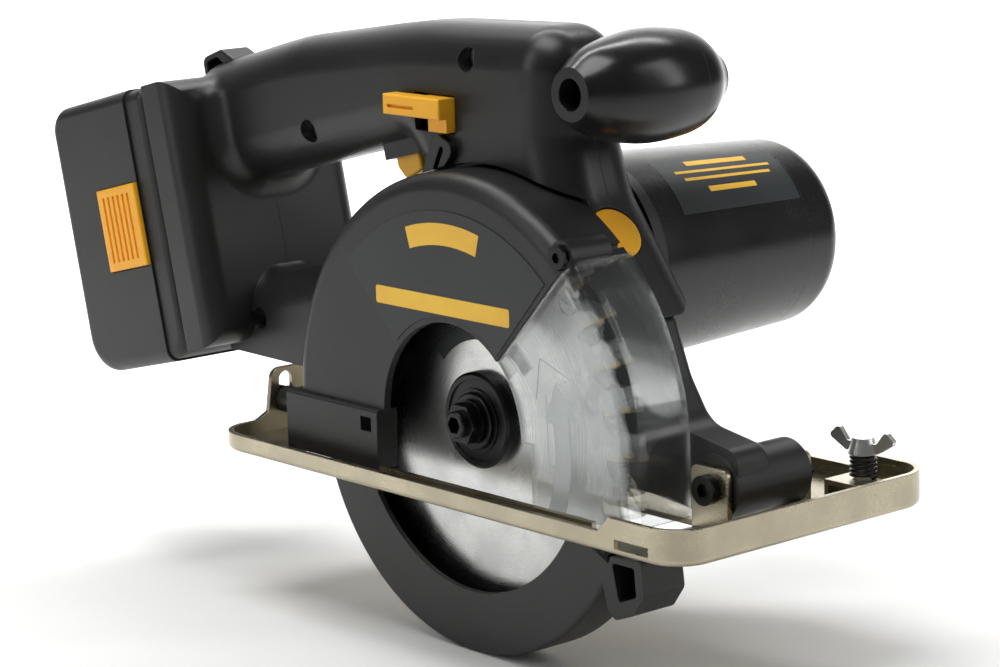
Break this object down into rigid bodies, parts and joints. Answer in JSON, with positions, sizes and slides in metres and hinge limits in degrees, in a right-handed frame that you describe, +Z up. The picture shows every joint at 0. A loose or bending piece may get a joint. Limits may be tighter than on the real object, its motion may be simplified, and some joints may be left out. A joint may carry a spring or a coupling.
{
  "type": "cordless circular saw",
  "caption": "Compact cordless metal-cutting circular saw with open base tray, clear front guard window, swinging lower guard, loop handle, egg-shaped front grip and slide-on battery.",
  "frame": {"origin": "on the sole of the base, mid-width, straight below the blade axis", "axes": "+X is the cutting direction, +Y runs from the blade towards the motor, +Z is up"},
  "size_m": [0.3354, 0.1545, 0.1998],
  "materials": {
    "zinc_plated_steel": "smooth",
    "bright_hardware": "satin",
    "black_oxide_steel": "satin",
    "blade_steel": "brushed",
    "carbide": "satin",
    "gear_steel": "satin",
    "spring_steel": "satin",
    "bearing_steel": "polished",
    "cast_magnesium": "satin",
    "textured_black_plastic": "textured",
    "smooth_black_plastic": "satin",
    "clear_plastic": "polished",
    "badge_grey": "matt",
    "amber_plastic": "satin",
    "motor_iron": "matt",
    "magnet_ferrite": "matt",
    "copper": "satin",
    "carbon": "matt",
    "nylon_white": "matt",
    "cell_sleeve": "satin"
  },
  "bodies": {
    "base": {"base_plate": "zinc_plated_steel", "pivot_pin": "black_oxide_steel", "pivot_nut": "black_oxide_steel", "fence_clamp_plate": "zinc_plated_steel", "wing_screw_spring": "black_oxide_steel"},
    "wing_screw": {"wing_screw": "bright_hardware"},
    "spindle": {"spindle": "gear_steel", "blade": "blade_steel", "blade_carbide_tips": "carbide", "blade_inner_flange": "black_oxide_steel", "blade_outer_flange": "black_oxide_steel", "blade_bolt": "black_oxide_steel", "spindle_gear": "gear_steel"},
    "idler": {"idler_gear": "gear_steel"},
    "armature": {"armature_shaft": "gear_steel", "armature_core": "motor_iron", "armature_windings": "copper", "commutator": "copper", "cooling_fan": "nylon_white"},
    "swing_guard": {"swing_guard": "textured_black_plastic"},
    "trigger": {"trigger": "amber_plastic"},
    "lock_off": {"lock_off_lever": "amber_plastic"},
    "lock_button": {"spindle_lock_button": "amber_plastic"},
    "battery": {"battery_case": "textured_black_plastic", "battery_lid": "textured_black_plastic", "battery_cells": "cell_sleeve"},
    "latch_right": {"battery_latch_right": "amber_plastic"},
    "latch_left": {"battery_latch_left": "amber_plastic"},
    "head": {"battery_terminal_block": "nylon_white", "brush_holders": "copper", "carbon_brushes": "carbon", "depth_clamp_bolt": "black_oxide_steel", "front_knob": "smooth_black_plastic", "front_knob_bolt": "black_oxide_steel", "front_knob_cap": "smooth_black_plastic", "gear_case": "cast_magnesium", "gear_case_cover": "cast_magnesium", "guard_badge": "badge_grey", "guard_screws": "black_oxide_steel", "guard_window": "clear_plastic", "housing_left": "textured_black_plastic", "housing_right": "textured_black_plastic", "housing_screws": "bright_hardware", "lifting_loop": "textured_black_plastic", "motor_bearing_front": "bearing_steel", "motor_bearing_rear": "bearing_steel", "motor_end_cap": "smooth_black_plastic", "motor_housing": "smooth_black_plastic", "motor_magnets": "magnet_ferrite", "motor_yoke": "motor_iron", "spindle_bearing_front": "bearing_steel", "spindle_bearing_rear": "bearing_steel", "spindle_lock_spring": "spring_steel", "swing_guard_retainer": "spring_steel", "swing_guard_spring": "spring_steel", "switch_body": "carbon", "trigger_sleeve": "textured_black_plastic", "trigger_spring": "spring_steel", "upper_guard": "textured_black_plastic", "wrench_keeper": "textured_black_plastic"}
  },
  "joints": [
    {"name": "depth_hinge", "type": "hinge", "parent": "base", "child": "head", "pos_m": [0.0908, -0.0025, 0.0143], "axis": [0, 1, 0], "range_deg": [0, 1.95]},
    {"name": "fence_wing_screw", "type": "hinge", "parent": "base", "child": "wing_screw", "pos_m": [0.095, 0.0427, 0.0101], "axis": [0, 0, 1], "continuous": true},
    {"name": "spindle_turn", "type": "hinge", "parent": "head", "child": "spindle", "pos_m": [0, -0.0295, 0.0231], "axis": [0, 1, 0], "continuous": true},
    {"name": "idler_turn", "type": "hinge", "parent": "head", "child": "idler", "pos_m": [0.00315, -0.0095, 0.04727], "axis": [0, 1, 0], "continuous": true},
    {"name": "motor_turn", "type": "hinge", "parent": "head", "child": "armature", "pos_m": [0.006, 0.0305, 0.06908], "axis": [0, 1, 0], "continuous": true},
    {"name": "swing_guard_turn", "type": "hinge", "parent": "head", "child": "swing_guard", "pos_m": [0, -0.0295, 0.0231], "axis": [0, 1, 0], "range_deg": [0, 118], "stiffness_Nm_per_rad": 0.06, "springref_deg": -57.3},
    {"name": "trigger_pull", "type": "slide", "parent": "head", "child": "trigger", "axis": [-0.2317, 0, 0.9728], "range_m": [0, 0.004], "stiffness_N_per_m": 700, "springref_m": -0.004, "deforming": ["trigger_spring"]},
    {"name": "lock_off_slide", "type": "slide", "parent": "head", "child": "lock_off", "axis": [-1, 0, 0], "range_m": [0, 0.006], "stiffness_N_per_m": 300, "springref_m": -0.005},
    {"name": "spindle_lock_push", "type": "slide", "parent": "head", "child": "lock_button", "axis": [-0.766, 0, -0.6428], "range_m": [0, 0.002], "stiffness_N_per_m": 900, "springref_m": -0.004, "deforming": ["spindle_lock_spring"]},
    {"name": "battery_slide", "type": "slide", "parent": "head", "child": "battery", "axis": [-0.9728, 0, -0.2317], "range_m": [0, 0.06]},
    {"name": "latch_right_press", "type": "slide", "parent": "battery", "child": "latch_right", "axis": [0, 1, 0], "range_m": [0, 0.0015], "stiffness_N_per_m": 900, "springref_m": -0.003},
    {"name": "latch_left_press", "type": "slide", "parent": "battery", "child": "latch_left", "axis": [0, -1, 0], "range_m": [0, 0.0015], "stiffness_N_per_m": 900, "springref_m": -0.003}
  ],
  "couplings": [
    {"joint": "idler_turn", "follows": "spindle_turn", "ratio": -2.25},
    {"joint": "motor_turn", "follows": "spindle_turn", "ratio": 6}
  ]
}
